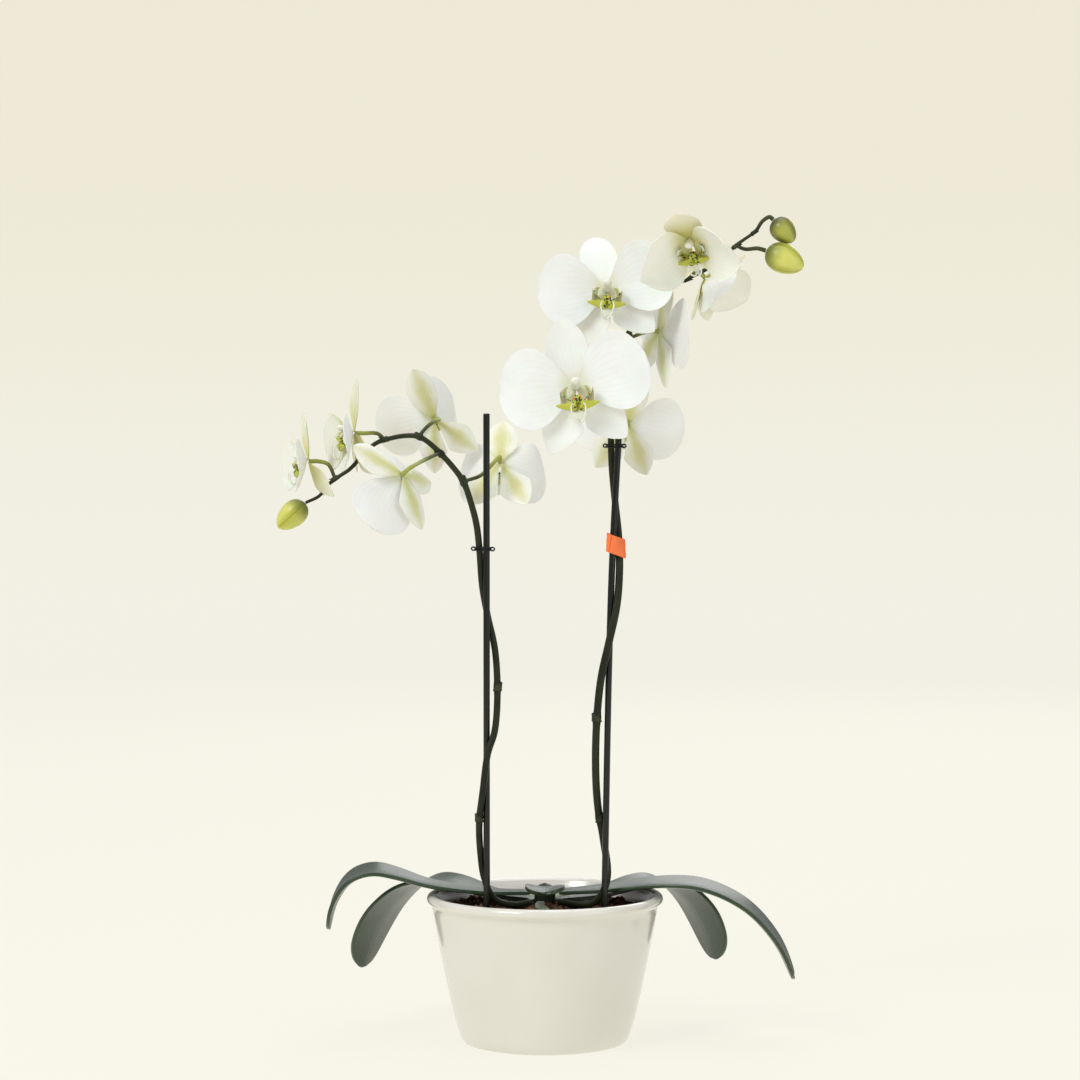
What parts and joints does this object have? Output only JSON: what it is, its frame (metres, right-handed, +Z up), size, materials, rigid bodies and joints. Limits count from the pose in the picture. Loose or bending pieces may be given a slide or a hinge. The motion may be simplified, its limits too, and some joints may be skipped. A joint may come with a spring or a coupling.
{
  "type": "potted orchid",
  "caption": "White moth orchid in a plain round pot: two staked, arching flower spikes with open blooms, buds, strap leaves and bark.",
  "frame": {"origin": "centre of the pot's flat foot", "axes": "+Z up along the pot's axis; -Y is the front, facing the open blooms; the two spikes stand side by side along X, the bare-staked one towards -X"},
  "size_m": [0.3419, 0.1921, 0.5435],
  "materials": {
    "glaze": "smooth cream-white glaze",
    "bark": "dry conifer bark chips",
    "leaf": "thick, semi-gloss dark green leaf",
    "root": "silvery green velvety root",
    "stem": "dark olive living stem, satin",
    "cane": "dark coated plant stake",
    "wire": "black coated wire clip",
    "tape": "orange plastic tie",
    "bud": "yellow-green bud, satin",
    "sepal": "white flower tissue, yellow-green along the middle of the back",
    "petal": "white velvety flower tissue",
    "lip": "white and yellow-green lip with dark speckles"
  },
  "bodies": {
    "root": {"pot": "glaze", "bark_medium": "bark", "crown": "stem", "leaf_1": "leaf", "leaf_2": "leaf", "leaf_3": "leaf", "leaf_4": "leaf", "leaf_5": "leaf", "aerial_root_1": "root", "aerial_root_2": "root", "aerial_root_3": "root", "left_stake": "cane", "right_stake": "cane", "left_spike": "stem", "right_spike": "stem", "left_clip": "wire", "right_clip": "wire", "stem_band": "tape", "left_bud": "bud", "right_bud_1": "bud", "right_bud_2": "bud", "left_flower_1_sepals": "sepal", "left_flower_1_petals": "petal", "left_flower_1_lip": "lip", "left_flower_2_sepals": "sepal", "left_flower_2_petals": "petal", "left_flower_2_lip": "lip", "left_flower_3_sepals": "sepal", "left_flower_3_petals": "petal", "left_flower_3_lip": "lip", "left_flower_4_sepals": "sepal", "left_flower_4_petals": "petal", "left_flower_4_lip": "lip", "left_flower_5_sepals": "sepal", "left_flower_5_petals": "petal", "left_flower_5_lip": "lip", "right_flower_1_sepals": "sepal", "right_flower_1_petals": "petal", "right_flower_1_lip": "lip", "right_flower_2_sepals": "sepal", "right_flower_2_petals": "petal", "right_flower_2_lip": "lip", "right_flower_3_sepals": "sepal", "right_flower_3_petals": "petal", "right_flower_3_lip": "lip", "right_flower_4_sepals": "sepal", "right_flower_4_petals": "petal", "right_flower_4_lip": "lip", "right_flower_5_sepals": "sepal", "right_flower_5_petals": "petal", "right_flower_5_lip": "lip", "right_flower_6_sepals": "sepal", "right_flower_6_petals": "petal", "right_flower_6_lip": "lip"}
  },
  "joints": []
}
